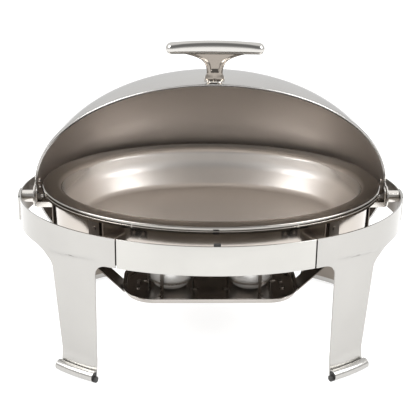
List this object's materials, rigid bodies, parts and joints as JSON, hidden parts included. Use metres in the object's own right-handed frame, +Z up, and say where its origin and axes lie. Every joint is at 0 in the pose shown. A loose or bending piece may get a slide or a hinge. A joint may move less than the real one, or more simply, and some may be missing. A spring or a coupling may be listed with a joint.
{
  "type": "roll top chafer",
  "caption": "Oval roll top chafer: domed lid rolled back on side pivots, water pan and food pan in a banded frame on legs, fuel burners on a tray.",
  "frame": {"origin": "on the floor under the middle of the lid's pivot axis", "axes": "+X along the oval to the user's right, +Y to the back, +Z up; the pivot axis is parallel to X; rest is the lid rolled open"},
  "size_m": [0.614, 0.444, 0.4921],
  "materials": {
    "polished_stainless": "mirror polished stainless steel",
    "satin_stainless": "satin stainless steel",
    "plain_stainless": "plain mill-finish stainless steel",
    "black_rubber": "matt black"
  },
  "bodies": {
    "frame": {"band_bumper": "black_rubber", "burner_tray": "polished_stainless", "cage_rivets": "satin_stainless", "front_left_glide": "black_rubber", "front_left_leg": "polished_stainless", "front_left_seam_plate": "plain_stainless", "front_panel": "polished_stainless", "front_right_glide": "black_rubber", "front_right_leg": "polished_stainless", "front_right_seam_plate": "plain_stainless", "left_burner_cage": "satin_stainless", "left_pivot_bolt": "polished_stainless", "left_pivot_bracket": "plain_stainless", "left_pivot_plate": "polished_stainless", "left_pivot_spacer": "polished_stainless", "left_stop_pin": "plain_stainless", "left_support_bracket": "plain_stainless", "left_tray_strap": "plain_stainless", "pan_ring": "plain_stainless", "pivot_nuts": "plain_stainless", "pivot_washers": "plain_stainless", "rear_left_glide": "black_rubber", "rear_left_leg": "polished_stainless", "rear_left_seam_plate": "plain_stainless", "rear_panel": "polished_stainless", "rear_right_glide": "black_rubber", "rear_right_leg": "polished_stainless", "rear_right_seam_plate": "plain_stainless", "right_burner_cage": "satin_stainless", "right_pivot_bolt": "polished_stainless", "right_pivot_bracket": "plain_stainless", "right_pivot_plate": "polished_stainless", "right_pivot_spacer": "polished_stainless", "right_stop_pin": "plain_stainless", "right_support_bracket": "plain_stainless", "right_tray_strap": "plain_stainless", "seam_screws": "plain_stainless", "strap_rivets": "plain_stainless", "support_screws": "plain_stainless", "tray_nuts": "plain_stainless", "tray_screws": "plain_stainless"},
    "lid": {"lid_shell": "polished_stainless", "left_lid_ear": "polished_stainless", "right_lid_ear": "polished_stainless", "lid_ear_rivets": "plain_stainless", "lid_handle": "polished_stainless", "handle_collar": "polished_stainless", "handle_screw": "plain_stainless", "handle_washer": "plain_stainless"},
    "water_pan": {"water_pan": "polished_stainless"},
    "food_pan": {"food_pan": "satin_stainless"},
    "left_fuel_cup": {"left_fuel_cup": "polished_stainless", "left_cover_pin": "plain_stainless"},
    "right_fuel_cup": {"right_fuel_cup": "polished_stainless", "right_cover_pin": "plain_stainless"},
    "left_snuffer_cover": {"left_snuffer_cover": "polished_stainless"},
    "right_snuffer_cover": {"right_snuffer_cover": "polished_stainless"}
  },
  "joints": [
    {"name": "lid_roll", "type": "hinge", "parent": "frame", "child": "lid", "pos_m": [0, 0, 0.23], "axis": [-1, 0, 0], "range_deg": [-70, 0]},
    {"name": "water_pan_lift", "type": "slide", "parent": "frame", "child": "water_pan", "axis": [0, 0, 1], "range_m": [0, 0.014]},
    {"name": "food_pan_lift", "type": "slide", "parent": "water_pan", "child": "food_pan", "axis": [0, 0, 1], "range_m": [0, 0.02]},
    {"name": "left_fuel_cup_lift", "type": "slide", "parent": "frame", "child": "left_fuel_cup", "axis": [0, 0, 1], "range_m": [0, 0.018]},
    {"name": "right_fuel_cup_lift", "type": "slide", "parent": "frame", "child": "right_fuel_cup", "axis": [0, 0, 1], "range_m": [0, 0.018]},
    {"name": "left_cover_swing", "type": "hinge", "parent": "left_fuel_cup", "child": "left_snuffer_cover", "pos_m": [-0.065, 0.041, 0.1355], "axis": [0, 0, -1], "range_deg": [0, 110]},
    {"name": "right_cover_swing", "type": "hinge", "parent": "right_fuel_cup", "child": "right_snuffer_cover", "pos_m": [0.065, 0.041, 0.1355], "axis": [0, 0, 1], "range_deg": [0, 110]}
  ]
}
